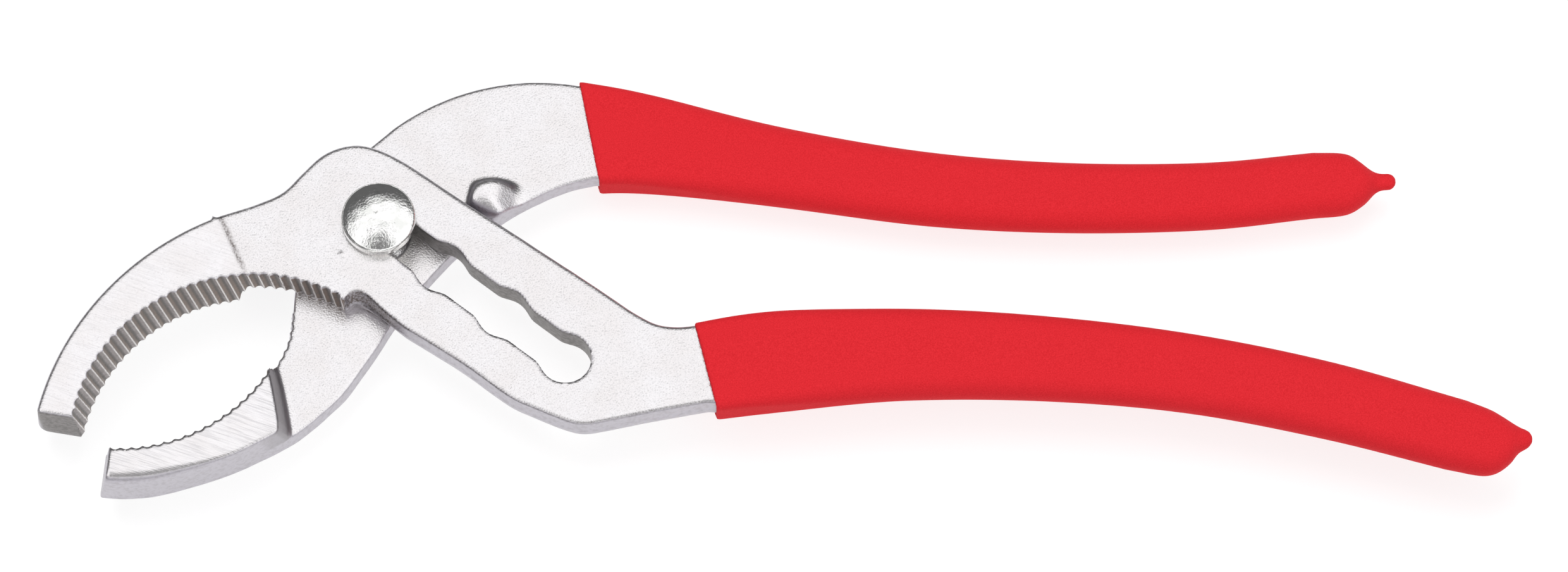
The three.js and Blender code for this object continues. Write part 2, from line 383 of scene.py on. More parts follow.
def wavy(x):
    """Unevenness of the trimmed flash line along a lever."""
    return 0.14 * np.sin(0.61 * x) + 0.1 * np.sin(1.57 * x + 1.0)


def flash_ridge(above_parting):
    """How far the trimmed flash stands out, from the height above the parting line."""
    return PARTING * bell(above_parting, FLASH_WIDTH)


def facing(normals):
    """How much each vertex belongs to a front or back face, and how much to a wall."""
    upright = np.abs(normals[:, 2])
    return ramp(upright, 0.75, 0.95), 1 - ramp(upright, 0.35, 0.65)


# ---------------------------------------------------------------- the slotted lever

SLOT_ANGLE = math.radians(-37.6)
SLOT_PITCH = 13.2
SLOT_POSITIONS = 4
LOBE_RADIUS = 4.3
THROAT_HALF = 3.3
LOBE_FILLET = 0.9

JAW_OUTER = {"centre": (-9.0, -44.1), "radius": 48.6}
PAST_JAW = 3.4  # how far the outline runs outside the jaw, whose own outer side cuts it
GROUND_LINE = ((-26.8, 0.9), (4.2, -9.6))  # a point on it and its direction
GROUND_STEP = 0.14  # how much deeper the jaw's ground face lies than the plate's face
UPPER_TIP = ((-56.2, -33.7), (6.4, -1.1))
SLOTTED_DRAFT = 0.07
JAW_DRAFT = 0.1
UPPER_TIP_DRAFT = 0.04
SLOTTED_PARTING = (MIDDLE + FRONT) / 2
FACE_EDGE = 0.6  # rounding between the sides and the front face
SLOTTED_BACK_EDGE = 1.4

# spots on the slotted lever: the place, and the square of the width
NOSE = ((-3.4, -13.3), 9.0)
HEAVY_FLASH = ((-0.9, -14.8), 20.0)  # the flash is thickest beside the nose, by MORE_FLASH
MORE_FLASH = 1.3
NOSE_MARKS_AND_SHADE = ((-1.4, -14.5), 26.0)  # the forging is scored there, and darkest with the painted shade of the crease under its flash
PIMPLE = ((-6.2, -5.9), 0.2)  # a small raised casting mark

LOWER_TOP = [(44, -20.2), (52.5, -17.9), (68, -15.3), (91, -14.8), (114, -16.3), (137, -19.4),
             (159.5, -24.3), (178, -29.8)]
LOWER_BOTTOM = [(176, -42.0), (157.7, -37.2), (135.2, -32.7), (112.3, -30.6), (89.2, -30.4),
                (66.3, -32.2), (57, -33.2)]


def slotted_outline():
    back = through([(-27.2, 0.95), (-20.3, 3.3), (-16.1, 5.4), (-12.9, 8.8), (-9.4, 12.1), (-5.1, 13.7),
                    (-1.0, 13.2), (4.5, 10.4), (13.5, 4.1), (21.8, -1.5), (30.1, -7.2), (38.0, -12.7),
                    (42.6, -16.0), (46.5, -18.1), (50.5, -18.6), (56, -17.9)])
    tang_top = moved(through(LOWER_TOP)[16:], -STEEL_IN_GRIP)
    tang_bottom = moved(through(LOWER_BOTTOM), -STEEL_IN_GRIP)
    front = through([(55.2, -32.0), (46.1, -33.7), (38.0, -35.4), (34.6, -35.9), (31.6, -35.3),
                     (26.1, -33.0), (21.9, -30.9), (14.4, -25.3), (7.4, -20.7), (4.6, -18.9),
                     (2.2, -16.9), (0, -15.1), (-2.0, -13.7), (-3.4, -13.2), (-4.6, -13.5), (-5.4, -14.3)])
    outside_jaw = arc(JAW_OUTER["centre"], JAW_OUTER["radius"] + PAST_JAW, 172, 116, 60)
    mouth = mouth_line(UPPER_ARC, -1.0, 8)
    past_tip = [(-62, -39)]
    return np.vstack([outside_jaw, back, tang_top, tang_bottom, front, mouth, past_tip])


def slot_field(x, y):
    """Distance to the slot's lobes and throats, negative inside the slot."""
    u, v = turned_axes(x, y, SLOT_ANGLE)
    length = SLOT_PITCH * (SLOT_POSITIONS - 1)
    hole = np.maximum(np.abs(v) - THROAT_HALF, np.abs(u - length / 2) - length / 2)
    for i in range(SLOT_POSITIONS):
        hole = soft_min(hole, np.hypot(u - i * SLOT_PITCH, v) - LOBE_RADIUS, LOBE_FILLET)
    return hole


def upper_teeth(x, y, z):
    return toothed_field(UPPER_ARC, x, y, z, lambda angle: 0.3 + 0.7 * ramp(angle, 95, 172))


def slotted_sides(x2, y2, z, mouth, past_ground):
    """Distance to the drafted sides with their flash ridge, the nose, and the jaw's outer side and end."""
    side = signed_distance(slotted_outline(), x2, y2)[:, :, None].astype(np.float32)
    above_parting = z - (SLOTTED_PARTING + wavy(x2)[:, :, None])
    side = side + SLOTTED_DRAFT * (np.abs(above_parting) - (FRONT - MIDDLE) / 2)
    heavier = 1 + MORE_FLASH * spot(x2, y2, *HEAVY_FLASH)[:, :, None]
    plate_only = ramp(past_ground, -3, 1)
    side = side - flash_ridge(above_parting) * (1 - near_teeth(mouth)) * plate_only * heavier
    nose_slant = 1.1 * (FRONT - z) / (FRONT - MIDDLE) - 0.75
    side = side - spot(x2, y2, *NOSE)[:, :, None] * nose_slant

    x, y = x2[:, :, None], y2[:, :, None]
    outer = np.hypot(x - JAW_OUTER["centre"][0], y - JAW_OUTER["centre"][1]) - JAW_OUTER["radius"]
    outer = outer - JAW_DRAFT * (FRONT - z) - 6 * ramp(past_ground, -1.5, 2)
    outer = np.where(past_ground > 2, DEEP_INSIDE, outer)
    tip = side_of(*UPPER_TIP, x, y) + UPPER_TIP_DRAFT * (FRONT - z)
    return np.maximum(side, soft_max(outer, tip, 0.7 + 0.16 * (FRONT - z)))


def slotted_masks(vertices, normals):
    """Where the lever is ground, toothed or cut, where it is scored or darkened by painted shade, and how
    much each vertex is on a side.
    """
    x, y, z = vertices.T
    face_up, wall = facing(normals)
    upright = np.abs(normals[:, 2])
    toothed = on_teeth(upper_teeth(x, y, z))
    in_slot = 1 - ramp(np.abs(slot_field(x, y)), 0.2, 0.5)
    on_tip = 1 - ramp(np.abs(side_of(*UPPER_TIP, x, y)), 0.3, 0.9)
    past_line = -side_of(*GROUND_LINE, x, y)

    line = bell(past_line - 0.2, 0.4) * ramp(y, -10.5, -6) * face_up
    above_flash = (1 - ramp(upright, 0.80, 0.97)) * ramp(z, MIDDLE + 3.0, MIDDLE + 3.4)
    # dark crease under the flash ridge by the nose: some grime, and painted shade where the crease lies in
    # shadow
    under_flash_grime_and_shade = bell(z - SLOTTED_PARTING - wavy(x) + 0.55, 0.3) * wall
    by_nose = np.minimum(1, 1.9 * spot(x, y, *NOSE_MARKS_AND_SHADE)) * (1 - toothed)
    # the nose's dark band on the rounding above the flash and on its wall, together with the painted shade
    # of the crease
    nose = by_nose * np.maximum.reduce([above_flash, under_flash_grime_and_shade, 0.45 * wall])
    # painted shade: the rounding along the plate's front edge is darkened where it faces forward, standing
    # in for the dark horizon it would mirror
    front_edge_shade = bell(upright - 0.8, 0.2) * ramp(-normals[:, 1], 0.1, 0.3)
    front_edge_shade = front_edge_shade * ramp(x, -4, -2) * (1 - 0.55 * ramp(x, 5, 35)) * (1 - in_slot)
    return {
        "ground": 0.45 * (1 - ramp(past_line, -0.1, 0.2)) * face_up,
        # scored marks, a dark line along the ground step, and painted shade in the nose's crease and on the
        # front edge
        "scored_and_shaded": np.maximum.reduce([line, nose, front_edge_shade]),
        "toothed": toothed * wall,
        "phase": phase_at(UPPER_ARC, x, y, z),
        "cut": np.maximum(in_slot, on_tip) * wall,
        "side": 1 - face_up,
    }


def slotted_lever():
    xs = stepped_axis((-59.5, 2, FINE), (2, 58.5, PLAIN), (58.5, 182, TANG))
    ys = stepped_axis((-45, 15.5, 0.3))
    x2, y2, x, y, z = spread_out(xs, ys, LEVELS)
    mouth = upper_teeth(x, y, z).astype(np.float32)
    past_ground = -side_of(*GROUND_LINE, x2, y2)[:, :, None]
    side = slotted_sides(x2, y2, z, mouth, past_ground)

    # the back surface is the plate's own, or the jaw's where it is full thickness
    step_wall = past_ground + STEP_LEAN * (MIDDLE - z)
    back = soft_min(MIDDLE + SEAM - z, soft_max(BACK - z, step_wall, 0.8), 1.2)
    ground = 1 - ramp(past_ground, -0.15, 0.15)
    pimple = 0.2 * spot(x2, y2, *PIMPLE)[:, :, None]
    front_face = z - (FRONT - GROUND_STEP * ground + pimple)
    solid = soft_max(side, front_face, FACE_EDGE)
    solid = soft_max(solid, back, SLOTTED_BACK_EDGE)
    solid = soft_max(solid, mouth, CRISP)
    solid = soft_max(solid, -slot_field(x2, y2)[:, :, None], CRISP)

    vertices, faces, normals = carve(solid, xs, ys, LEVELS)
    return add_piece("slotted_lever_forging", vertices, faces, "slotted_side", "slotted_lever",
                     materials["steel"], slotted_masks(vertices, normals), SHARP_FORGED)


# ---------------------------------------------------------------- the rear lever

UPPER_TOP = [(26, 28.6), (35, 27.4), (46.6, 25.2), (69.3, 19.6), (92.2, 15.5), (115, 13.6), (138.7, 13.6),
             (155, 15.0)]
UPPER_BOTTOM = [(155, 4.0), (138.7, 2.1), (115, 1.6), (92.2, 2.8), (69.3, 5.9), (46.6, 8.9), (36, 9.2)]
LOWER_TIP = ((-44.8, -45.5), (-0.6, -5.4))
STEP_FOOT = np.array([(-17.9, -20.0), (-16.9, -24.5), (-16.0, -27.8), (-15.2, -31.7), (-14.6, -35.1),
                      (-14.55, -38), (-14.55, -42)])
BORE = 5.05  # radius of the hole for the bolt's journal
BOSS = {"centre": (19.3, 5.9), "long": 4.6, "short": 3.1, "angle": math.radians(-8), "height": 2.6}
# lines that the slotted lever's edge sweeps past the boss
SWEPT_OPEN = ((15.4, 8.0), (1.87, 9.45))  # handles wide open
SWEPT_CLOSED = ((16.3, 3.3), (-3.4, 2.83))  # handles closed in the last slot position
STEP_MIDDLE = -16.2  # x of the middle of the step's foot
ACROSS_STEP = 0.975  # distance across the slanting foot line for each millimetre along x
REAR_DRAFT = 0.05
LOWER_TIP_DRAFT = 0.155
REAR_PARTING = (MIDDLE + BACK) / 2
REAR_FLASH = 0.6  # the rear lever's flash is trimmed closer
REAR_BACK_EDGE = 3.4
TIP_EDGE = 0.45


def scalloped(line, inward, depth):
    """A curve moved to its right by a distance and scalloped back at the teeth's pitch."""
    run = np.concatenate([[0], np.cumsum(np.linalg.norm(np.diff(line, axis=0), axis=1))])
    scallop = depth * np.abs(np.sin(np.pi * run / TOOTH_PITCH))
    return moved(moved(line, -inward), scallop[:, None])


def rear_outline():
    outer = through([(-50, -45.0), (-44.8, -45.7), (-41.1, -45.8), (-36.5, -45.3), (-29.6, -43.4),
                     (-24.3, -41.5), (-20.1, -39.5), (-16, -37.3), (-12.4, -34.8), (-8.8, -31.6),
                     (-5.6, -28.3), (-2.8, -24.2), (0, -19.9), (2.3, -16.0), (6.2, -10.6), (12.5, -3.4),
                     (20.2, 2.9), (24.1, 5.4), (28.3, 7.6), (32.2, 9.1), (36, 10.0)])
    tang_bottom = moved(through(UPPER_BOTTOM)[:-8], -STEEL_IN_GRIP)[::-1]
    tang_top = moved(through(UPPER_TOP)[16:], -STEEL_IN_GRIP)[::-1]
    shoulder = arc((26.2, -11.9), 39.3, 80, 128, 30)
    hub = through([(1.9, 19.0), (-6.5, 11), (-12.3, 0.5), (-14.0, -9), (-14.4, -14.0)])
    edge = through([(-14.4, -14.0), (-14.6, -17.0), (-15.2, -19.7), (-16.4, -22.4), (-17.6, -24.6)], 24)
    mouth = mouth_line(LOWER_ARC, 10, 0.5)[::-1]
    return np.vstack([outer, tang_bottom, tang_top, shoulder, hub, scalloped(edge, 0.28, 0.3), mouth])


def lower_teeth(x, y, z):
    chamfer = 0.25 * ramp(z, FRONT - 1.2, FRONT + 0.2)
    return toothed_field(LOWER_ARC, x, y, z, lambda angle: 0.4) + chamfer


def stop_boss(x, y, z):
    """Distance to the boss that stops the handles: an oval that slopes down to its right and front."""
    u, v = turned_axes(x - BOSS["centre"][0], y - BOSS["centre"][1], BOSS["angle"])
    rim = (np.hypot(u / BOSS["long"], v / BOSS["short"]) - 1) * BOSS["short"]
    top = z - (MIDDLE + BOSS["height"])
    falls_right = (top + 0.58 * (u + 0.5)) * 0.87
    falls_forward = (top - 0.75 * (v + 1.2)) * 0.8
    boss = soft_max(soft_max(top, falls_right, 0.9), falls_forward, 0.9)
    boss = soft_max(rim * 0.9 + 0.2 * top, boss, 1.0)
    for line in (SWEPT_OPEN, SWEPT_CLOSED):
        boss = soft_max(boss, -side_of(*line, x, y) + 0.1 * top, 0.7)
    return boss


def rear_sides(x2, y2, z, mouth):
    """Distance to the drafted sides with their flash ridge; the draft ends at the jaw block."""
    side = signed_distance(rear_outline(), x2, y2)[:, :, None].astype(np.float32)
    above_parting = z - (REAR_PARTING + wavy(x2)[:, :, None])
    past_block = ramp(x2, -24, -12)[:, :, None]
    side = side + REAR_DRAFT * (np.abs(above_parting) - (MIDDLE - BACK) / 2) * past_block
    return side - REAR_FLASH * flash_ridge(above_parting) * (1 - near_teeth(mouth))


def rear_front(x, y, z):
    """Distance to the front surface: the plate's with the boss on it, or the jaw block's behind its step."""
    foot_x = np.interp(y, STEP_FOOT[::-1, 1], STEP_FOOT[::-1, 0])
    step_wall = (x - foot_x) * ACROSS_STEP + STEP_LEAN * (z - MIDDLE)
    block_top = soft_max(z - FRONT, step_wall, 0.55)
    front = soft_min(z - (MIDDLE - SEAM), block_top, 1.0)
    return soft_min(front, stop_boss(x, y, z), 0.7)


def rear_masks(vertices, normals):
    """Where the lever is ground, toothed or cut, and how much each vertex is on a side."""
    x, y, z = vertices.T
    face_up, wall = facing(normals)
    near_step = (1 - ramp(np.abs(x - STEP_MIDDLE), 1.5, 3.0)) * ramp(z, MIDDLE, MIDDLE + 0.3)
    return {
        "ground": ramp(z, FRONT - 0.3, FRONT - 0.1) * face_up,
        "toothed": on_teeth(lower_teeth(x, y, z)) * wall,
        "phase": phase_at(LOWER_ARC, x, y, z),
        "cut": 0.55 * near_step * ramp(normals[:, 0], 0.3, 0.7),
        "side": 1 - face_up,
    }


def rear_lever():
    xs = stepped_axis((-49.5, 24, FINE), (24, 39, PLAIN), (39, 160, TANG))
    ys = stepped_axis((-47.5, 29, 0.28))
    x2, y2, x, y, z = spread_out(xs, ys, LEVELS)
    mouth = lower_teeth(x, y, z).astype(np.float32)
    tip = side_of(*LOWER_TIP, x, y) - LOWER_TIP_DRAFT * (FRONT - z)
    towards_tip = ramp(-x2, 20, 40)[:, :, None]
    solid = soft_max(rear_sides(x2, y2, z, mouth), rear_front(x, y, z), 0.5 + 1.5 * towards_tip)
    solid = soft_max(solid, tip, TIP_EDGE)
    solid = soft_max(solid, BACK - z, REAR_BACK_EDGE)
    solid = soft_max(solid, mouth, CRISP)
    solid = np.maximum(solid, BORE - np.hypot(x, y))
    vertices, faces, normals = carve(solid, xs, ys, LEVELS)
    return add_piece("rear_lever_forging", vertices, faces, "rear_side", "rear_lever",
                     materials["steel"], rear_masks(vertices, normals), SHARP_FORGED)


# ---------------------------------------------------------------- dipped grips

WALL = 0.9  # thickness of the plastic
GRIP_STEP = 0.42  # grid step across a grip
ALONG_STEP = 1.0  # grid step along a grip's plain middle
MOUTH_STEP = 0.35
END_STEP = 0.4
MOUTH_EDGE = 0.45  # rounding of the plastic's edge at the mouth
MOUTH_ROUNDING = 1.5  # rounding of the long edges at the mouth
MORE_ROUNDING = 1.8  # how much rounder they become over ROUNDING_RUN
ROUNDING_RUN = 30
CROWN = 0.3  # how much lower the faces lie at their edges than in the middle
CROWN_REACH = 2.5
DROP_FILLET = 1.9

LOWER_GRIP = {
    "top": LOWER_TOP[:-1] + [(181.5, -31)],
    "end": [(181.5, -31), (186.3, -33.1), (189.4, -35.9), (190.2, -38.6), (188.4, -41.8), (184.6, -43.7),
            (178, -42.6)],
    "bottom": [(178, -42.6)] + LOWER_BOTTOM[1:] + [(48, -34.0)],
    "mouth": ((56.9, -34.5), (52.4, -16.4)),
    "drop": {"x": 188.2, "y": -36.9, "angle": math.radians(-14), "length": 4.2, "radius": 1.65},
    "levels": (9.1, 16.9),
}
UPPER_GRIP = {
    "top": UPPER_TOP[:-1] + [(157, 15.4)],
    "end": [(157, 15.4), (162.4, 15.2), (165.2, 13.6), (166.8, 11.8), (167.4, 10.1), (166.9, 8.1),
            (165.4, 6.4), (162.5, 4.8), (157, 4.2)],
    "bottom": [(157, 4.2)] + UPPER_BOTTOM[1:] + [(28, 8.2)],
    "mouth": ((36.9, 8.0), (32.9, 28.6)),
    "drop": {"x": 167.3, "y": 10.4, "angle": math.radians(2), "length": 3.7, "radius": 1.4},
    "levels": (3.0, 10.8),
}


def grip_grid(grip, outline):
    """Grid lines around a grip: fine at its mouth and its end."""
    low, high = grip["levels"]
    mouth_xs = [p[0] for p in grip["mouth"]]
    end_xs = [p[0] for p in grip["end"]]
    past_mouth = max(mouth_xs) + 4
    before_end = min(end_xs) - 1
    xs = stepped_axis((min(mouth_xs) - 1, past_mouth, MOUTH_STEP), (past_mouth, before_end, ALONG_STEP),
                      (before_end, max(end_xs) + 6, END_STEP))
    ys = stepped_axis((outline[:, 1].min() - 1.5, outline[:, 1].max() + 1.5, GRIP_STEP))
    return xs, ys, stepped_axis((low - 0.9, high + 0.95, GRIP_STEP))


def dipped_sleeve(side, above_middle, half_height, from_mouth):
    """Distance to a sleeve with rounded edges, sharper at the mouth, and slightly crowned faces."""
    radius = MOUTH_ROUNDING + MORE_ROUNDING * ramp(-from_mouth, 0, ROUNDING_RUN)
    crowned_half = half_height - CROWN * np.exp(side / CROWN_REACH)
    a = side + radius
    b = np.abs(above_middle) - crowned_half + radius
    return np.hypot(np.maximum(a, 0), np.maximum(b, 0)) + np.minimum(np.maximum(a, b), 0) - radius


def last_drop(drop, x, y, above_middle):
    """Distance to the drop that dipping leaves at a grip's end: a short rod with a round tip."""
    along, across = turned_axes(x - drop["x"], y - drop["y"], drop["angle"])
    reach = drop["length"] - drop["radius"]
    past_ends = np.maximum(along - reach, 0) + np.maximum(-1 - along, 0)
    return np.hypot(np.hypot(across, above_middle), past_ends) - drop["radius"]


def dipped_grip(name, grip, body, node):
    """Plastic skin over a handle, open at its mouth."""
    outline = np.vstack([through(grip[part]) for part in ("top", "end", "bottom")])
    xs, ys, zs = grip_grid(grip, outline)
    x2, y2, x, y, z = spread_out(xs, ys, zs)
    side = signed_distance(outline, x2, y2)[:, :, None]
    low, high = grip["levels"]
    above_middle = z - (low + high) / 2
    start, stop = grip["mouth"]
    from_mouth = -side_of(start, np.subtract(stop, start), x, y)
    outer = dipped_sleeve(side, above_middle, (high - low) / 2, from_mouth)
    with_drop = soft_min(outer, last_drop(grip["drop"], x, y, above_middle), DROP_FILLET)
    solid = np.maximum(with_drop, -(outer + WALL))
    solid = soft_max(solid, from_mouth, MOUTH_EDGE)
    vertices, faces, _ = carve(solid, xs, ys, zs)
    return add_piece(name, vertices, faces, body, node, materials["grip"])


# ---------------------------------------------------------------- pivot bolt and nut

HEAD_RADIUS = 6.2
HEAD_RIM = 2.0  # height of the head's side
HEAD_DOME = 1.5
DOME_POWER = 2.6  # over 2 flattens the middle of the dome
DOME_RINGS = 37
BEVEL = 0.25
JOURNAL_RADIUS = 4.9
SHANK_RADIUS = 3.9
FLAT_HALF = 3.0  # the shank's flats, along the slot
TAIL_RADIUS = 4.0
BOLT_SEGMENTS = 128
CORNER_STEPS = 4

NUT_BASE = 0.5
NUT_GAP = 0.3  # between the nut and the rear lever
NUT_BORE = 4.3
NUT_BEVEL = 0.35
NUT_FLAT = 6.5  # from the axis to a flat
NUT_FACE = 6.35  # radius of its flat ends
NUT_CONE_FROM = 6.6  # the corners outside this radius are taken off by a cone
CONE_SLOPE = 0.577
NUT_SEGMENTS = 96


def turned(profile, segments, shape):
    """Vertices and faces of a closed turned solid; shape moves each ring's points."""
    angle = np.linspace(0, 2 * math.pi, segments, endpoint=False)
    rings = []
    for r, z in profile[1:-1]:
        rings.append(shape(np.column_stack([r * np.cos(angle), r * np.sin(angle), np.full(segments, z)])))
    start, end = (0, 0, profile[0][1]), (0, 0, profile[-1][1])
    vertices = [start] + [tuple(p) for ring in rings for p in ring] + [end]
    last = len(vertices) - 1
    faces = []
    for j in range(segments):
        k = (j + 1) % segments
        faces.append((0, 1 + k, 1 + j))
        for i in range(len(rings) - 1):
            a = 1 + i * segments
            b = a + segments
            faces.append((a + j, a + k, b + k, b + j))
        top = 1 + (len(rings) - 1) * segments
        faces.append((top + j, top + k, last))
    return vertices, faces


def rounded(profile, radius):
    """Profile with every inner corner rounded off."""
    p = [np.array(q, float) for q in profile]
    out = [p[0]]
    for a, b, c in zip(p[:-2], p[1:-1], p[2:]):
        to_a, to_c = a - b, c - b
        cut = min(radius, np.linalg.norm(to_a) * 0.45, np.linalg.norm(to_c) * 0.45)
        start = b + to_a / np.linalg.norm(to_a) * cut
        stop = b + to_c / np.linalg.norm(to_c) * cut
        for i in range(CORNER_STEPS + 1):
            t = i / CORNER_STEPS
            out.append((1 - t) ** 2 * start + 2 * t * (1 - t) * b + t * t * stop)
    out.append(p[-1])
    return out


def hammered(x, y):
    """Height of the head's shallow hammer marks and its one small dent."""
    broad = np.sin(1.35 * x + 0.7 * y + 0.5) * np.cos(1.1 * y - 0.6 * x + 1.1)
    fine = 0.6 * np.sin(2.3 * x - 1.7 * y + 2.0) * np.cos(1.9 * y + 1.3 * x)
    return 0.02 * (broad + fine) - 0.06 * bell(np.hypot(x + 0.5, y - 0.6), 0.45)


def bolt_ring(ring):
    """A ring of the bolt with the head's hammer marks, or with the flats that pass along the slot."""
    ring = ring.copy()
    radius = np.hypot(ring[:, 0], ring[:, 1])
    on_head = ring[:, 2] > HEAD_BASE + HEAD_RIM * 0.9
    marks = hammered(ring[:, 0], ring[:, 1]) * (1 - (radius / (HEAD_RADIUS + 0.1)) ** 8)
    ring[:, 2] += np.where(on_head, marks, 0)
    in_slot = (ring[:, 2] > MIDDLE) & (ring[:, 2] < HEAD_BASE + 0.01) & (radius < 4.5)
    u, v = turned_axes(ring[:, 0], ring[:, 1], SLOT_ANGLE)
    v = np.where(in_slot, np.clip(v, -FLAT_HALF, FLAT_HALF), v)
    ring[:, 0], ring[:, 1] = turned_axes(u, v, -SLOT_ANGLE)
    return ring


def pivot_bolt():
    head_top = HEAD_BASE + HEAD_RIM
    head = [(HEAD_RADIUS - 0.5, HEAD_BASE), (HEAD_RADIUS, HEAD_BASE + 0.5), (HEAD_RADIUS, head_top)]
    dome = []
    for i in range(DOME_RINGS):
        r = (HEAD_RADIUS - BEVEL) * (1 - i / (DOME_RINGS - 1))
        rise = (HEAD_DOME - BEVEL) * (1 - (r / HEAD_RADIUS) ** DOME_POWER)
        dome.append((r, head_top + BEVEL + rise))
    shank = [(0, 0), (TAIL_RADIUS - 0.4, 0), (TAIL_RADIUS, 0.4), (TAIL_RADIUS, BACK - 0.1),
             (JOURNAL_RADIUS, BACK - 0.1), (JOURNAL_RADIUS, MIDDLE - 0.2),
             (SHANK_RADIUS, MIDDLE - 0.1), (SHANK_RADIUS, HEAD_BASE)]
    profile = shank + rounded(head + dome[:1], BEVEL)[:-1] + dome
    vertices, faces = turned(profile, BOLT_SEGMENTS, bolt_ring)
    return add_piece("pivot_bolt_turned", vertices, faces, "pivot", "pivot_bolt",
                     materials["pin"])


def pivot_nut():
    """Hexagon nut: corners taken off by a cone, and a plain bore."""
    low, high = NUT_BASE, BACK - NUT_GAP
    angle = np.linspace(0, 2 * math.pi, NUT_SEGMENTS, endpoint=False)
    to_flat = (angle + math.pi / 6) % (math.pi / 3) - math.pi / 6
    hexagon = NUT_FLAT / np.cos(to_flat)
    cone = CONE_SLOPE * np.maximum(hexagon - NUT_CONE_FROM, 0)
    profile = [
        (NUT_BORE, low + NUT_BEVEL), (NUT_BORE + NUT_BEVEL, low), (NUT_FACE, low), (hexagon, low + cone),
        (hexagon, high - cone), (NUT_FACE, high), (NUT_BORE + NUT_BEVEL, high), (NUT_BORE, high - NUT_BEVEL),
    ]
    turn = angle + math.pi / 6
    rings = []
    for reach, z in profile:
        height = z + np.zeros(NUT_SEGMENTS)
        rings.append(np.column_stack([reach * np.cos(turn), reach * np.sin(turn), height]))
    faces = []
    for i in range(len(rings)):
        a = i * NUT_SEGMENTS
        b = ((i + 1) % len(rings)) * NUT_SEGMENTS
        for j in range(NUT_SEGMENTS):
            k = (j + 1) % NUT_SEGMENTS
            faces.append((a + j, b + j, b + k, a + k))
    return add_piece("pivot_nut_hexagon", np.vstack(rings), faces, "nut", "pivot_nut",
                     materials["pin"], sharp_angle=SHARP_NUT)


# ---------------------------------------------------------------- materials


class Nodes:
    """Small helper around a material's node tree."""

    def __init__(self, name):
        self.material = bpy.data.materials.new(name)
        self.material.use_nodes = True
        self.tree = self.material.node_tree
        self.shader = self.tree.nodes["Principled BSDF"]
        self.place = self.add("ShaderNodeTexCoord").outputs["Object"]

    def add(self, kind, **settings):
        node = self.tree.nodes.new(kind)
        for key, value in settings.items():
            setattr(node, key, value)
        return node

    def link(self, output, socket):
        self.tree.links.new(output, socket)

    def surface(self, **inputs):
        """Set inputs of the shader, or link them; underscores stand for the spaces in their names."""
        for name, value in inputs.items():
            socket = self.shader.inputs[name.replace("_", " ")]
            if isinstance(value, bpy.types.NodeSocket):
                self.link(value, socket)
            else:
                socket.default_value = value

    def attribute(self, name):
        return self.add("ShaderNodeAttribute", attribute_name=name).outputs["Fac"]

    def noise(self, size_mm, detail=2.0, stretch=None, turn=0.0):
        """Noise whose features are about size_mm across; stretch draws them out along x."""
        place = self.place
        if stretch:
            mapping = self.add("ShaderNodeMapping", vector_type="TEXTURE")
            mapping.inputs["Rotation"].default_value = (0, 0, math.radians(turn))
            mapping.inputs["Scale"].default_value = (stretch, 1, 1)
            self.link(place, mapping.inputs["Vector"])
            place = mapping.outputs["Vector"]
        noise = self.add("ShaderNodeTexNoise")
        noise.inputs["Scale"].default_value = 1 / (size_mm * MM)
        noise.inputs["Detail"].default_value = detail
        self.link(place, noise.inputs["Vector"])
        return noise.outputs["Fac"]

    def range(self, value, from_low, from_high, to_low, to_high):
        node = self.add("ShaderNodeMapRange")
        numbers = {"From Min": from_low, "From Max": from_high, "To Min": to_low, "To Max": to_high}
        for socket, number in numbers.items():
            node.inputs[socket].default_value = number
        self.link(value, node.inputs["Value"])
        return node.outputs["Result"]

    def math(self, operation, a, b):
        node = self.add("ShaderNodeMath", operation=operation)
        for socket, value in zip(node.inputs, (a, b)):
            if isinstance(value, (int, float)):
                socket.default_value = value
            else:
                self.link(value, socket)
        return node.outputs["Value"]

    def mix(self, factor, a, b):
        node = self.add("ShaderNodeMix", data_type="RGBA")
        sockets = [node.inputs[0], node.inputs[6], node.inputs[7]]
        for socket, value in zip(sockets, (factor, a, b)):
            if isinstance(value, tuple):
                socket.default_value = (*value, 1)
            else:
                self.link(value, socket)
        return node.outputs[2]

    def bump(self, height, depth_mm, before=None):
        node = self.add("ShaderNodeBump")
        node.inputs["Strength"].default_value = 1.0
        node.inputs["Distance"].default_value = depth_mm * MM
        self.link(height, node.inputs["Height"])
        if before is not None:
            self.link(before, node.inputs["Normal"])
        return node.outputs["Normal"]


# colours of the steel as linear red, green and blue; a pair is mixed by noise
FACE = ((0.90, 0.875, 0.87), (0.93, 0.915, 0.92))
PIT = (0.62, 0.60, 0.60)
STREAK = (0.62, 0.61, 0.62)
SIDE = ((0.47, 0.45, 0.48), (0.54, 0.52, 0.56))
# dark colour for the scored marks and for the painted shade laid with them
MARK_AND_SHADE = (0.15, 0.125, 0.115)
# a lit and a shaded flank of the teeth: painted light and shade
LIT_AND_SHADED_FLANKS = ((0.33, 0.30, 0.30), (0.24, 0.185, 0.155))
FLANK_STAIN = (0.17, 0.15, 0.14)
# painted shade in the teeth's valleys, with some grime
VALLEY_GRIME_AND_SHADE = (0.08, 0.075, 0.07)
# painted highlight on the teeth's crests
CREST_HIGHLIGHT = (0.86, 0.84, 0.83)
CUT = ((0.22, 0.205, 0.20), (0.13, 0.12, 0.115))
PIN = ((0.84, 0.85, 0.82), (0.95, 0.95, 0.93))
RED = ((0.64, 0.019, 0.026), (0.76, 0.030, 0.040))


